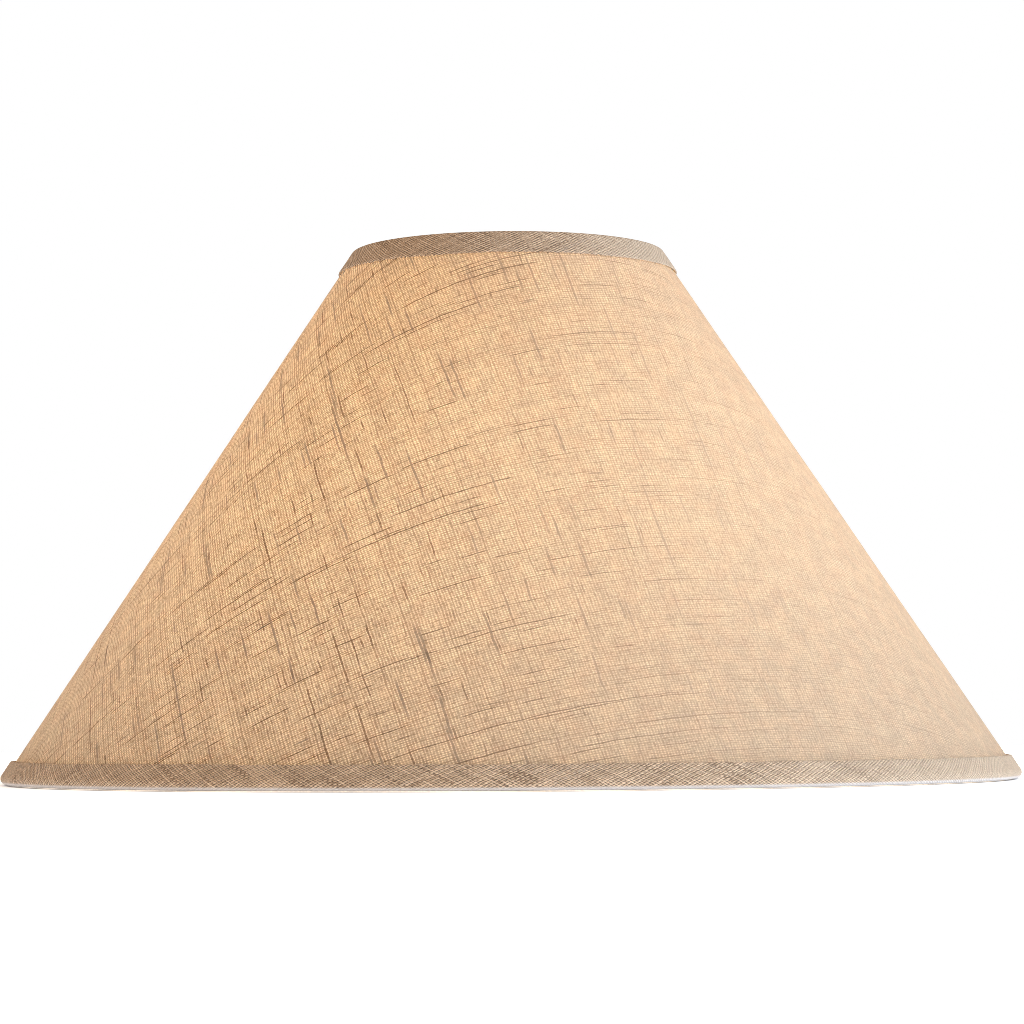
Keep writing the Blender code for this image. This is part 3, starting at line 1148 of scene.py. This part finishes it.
def add_softbox(name, azimuth, power, colour):
    """A square area light aimed at the shade. Azimuth 0 is in front, and 90 to the right."""
    data = bpy.data.lights.new(name, "AREA")
    data.energy = power
    data.color = colour
    data.size = SOFTBOX_SIZE
    lamp = bpy.data.objects.new(name, data)
    middle = Vector((0, 0, HEIGHT / 2))
    turn = math.radians(azimuth)
    tilt = SOFTBOX_ELEVATION
    away = Vector((math.sin(turn) * math.cos(tilt), -math.cos(turn) * math.cos(tilt), math.sin(tilt)))
    lamp.location = middle + away * SOFTBOX_DISTANCE
    lamp.rotation_mode = "QUATERNION"
    lamp.rotation_quaternion = away.to_track_quat("Z", "Y")
    lamp.visible_camera = False
    bpy.context.scene.collection.objects.link(lamp)


def make_world(strength, colour):
    """Soft light from all round, and plain white where the camera sees past the floor."""
    world = bpy.data.worlds.new("studio")
    bpy.context.scene.world = world
    world.use_nodes = True
    tree = world.node_tree
    tree.nodes.clear()
    soft = tree.nodes.new("ShaderNodeBackground")
    soft.inputs["Color"].default_value = rgba(*colour)
    soft.inputs["Strength"].default_value = strength
    white = tree.nodes.new("ShaderNodeBackground")
    white.inputs["Color"].default_value = rgba(1, 1, 1)
    rays = tree.nodes.new("ShaderNodeLightPath")
    choose = tree.nodes.new("ShaderNodeMixShader")
    output = tree.nodes.new("ShaderNodeOutputWorld")
    tree.links.new(rays.outputs["Is Camera Ray"], choose.inputs[0])
    tree.links.new(soft.outputs[0], choose.inputs[1])
    tree.links.new(white.outputs[0], choose.inputs[2])
    tree.links.new(choose.outputs[0], output.inputs["Surface"])


def make_floor():
    """A plain pale disc just under the lower edge, clear when it is looked at from below.

    It glows, so that it comes out as white as the background, apart from a thin shadow by the shade.
    """
    graph = Graph("pale_floor")
    position = graph.position()
    cloud, unused = graph.noise(position, FLOOR_CLOUD_SIZE, 3.0, "3D")
    colour = graph.blend(cloud, rgba(0.80, 0.80, 0.80), rgba(0.84, 0.84, 0.84))
    near = graph.node("ShaderNodeAmbientOcclusion", samples=8)
    near.inputs["Distance"].default_value = CONTACT_SHADOW
    lit = graph.node("ShaderNodeEmission")
    graph.put(lit.inputs["Strength"], graph.multiply(near.outputs["AO"], FLOOR_GLOW))
    surface = graph.node("ShaderNodeAddShader")
    graph.put(surface.inputs[0], graph.principled(colour, 0.9))
    graph.put(surface.inputs[1], lit.outputs[0])
    behind = graph.node("ShaderNodeNewGeometry").outputs["Backfacing"]
    clear = graph.node("ShaderNodeBsdfTransparent").outputs[0]
    material = graph.finish(graph.mix_shader(behind, surface.outputs[0], clear))

    bm = bmesh.new()
    bmesh.ops.create_circle(bm, cap_ends=True, segments=FLOOR_SEGMENTS, radius=FLOOR_RADIUS)
    mesh = bpy.data.meshes.new("floor")
    bm.to_mesh(mesh)
    bm.free()
    mesh.materials.append(material)
    floor = bpy.data.objects.new("floor", mesh)
    floor.location.z = -FLOOR_DROP
    bpy.context.scene.collection.objects.link(floor)


def make_lights():
    """A warm lit bulb inside, with the glow it leaves higher up, and cool soft light from outside."""
    make_world(strength=0.52, colour=(1.0, 0.64, 0.35))
    add_bulb("bulb", location=(0, -0.016, 0.058), power=1.19, colour=(1.0, 0.785, 0.526))
    add_bulb("bulb_glow_above", location=(0, -0.008, 0.19), power=0.25, colour=(1.0, 0.66, 0.33))
    add_softbox("key", azimuth=65, power=20.5, colour=(0.64, 0.83, 1.0))
    add_softbox("rim", azimuth=-110, power=4.0, colour=(0.6, 0.8, 1.0))


def main():
    linen = cover_linen()
    bias_linen = trim_linen()
    inside = backing()
    steel = plated_steel()
    make_liner(liner_styrene(), inside)
    make_cover(linen, inside)
    make_tape(seam_tape())
    make_ring("bottom_ring_wire", "bottom_ring", BOTTOM, steel)
    make_ring("top_ring_wire", "top_ring", TOP, steel)
    make_trim("bottom_trim_band", "bottom_trim", BOTTOM, bias_linen)
    make_trim("top_trim_band", "top_trim", TOP, bias_linen)
    for number, angle in enumerate(arm_angles(), 1):
        make_arm(number, angle, steel)
    make_washer(steel)
    make_camera()
    make_lights()
    make_floor()
    bpy.context.scene.view_settings.view_transform = "Standard"
    # Threads are about as fine as pixels, so the picture is kept sharp and its denoiser light.
    bpy.context.scene.cycles.filter_width = 0.8
    bpy.context.scene.cycles.denoising_prefilter = "NONE"


main()
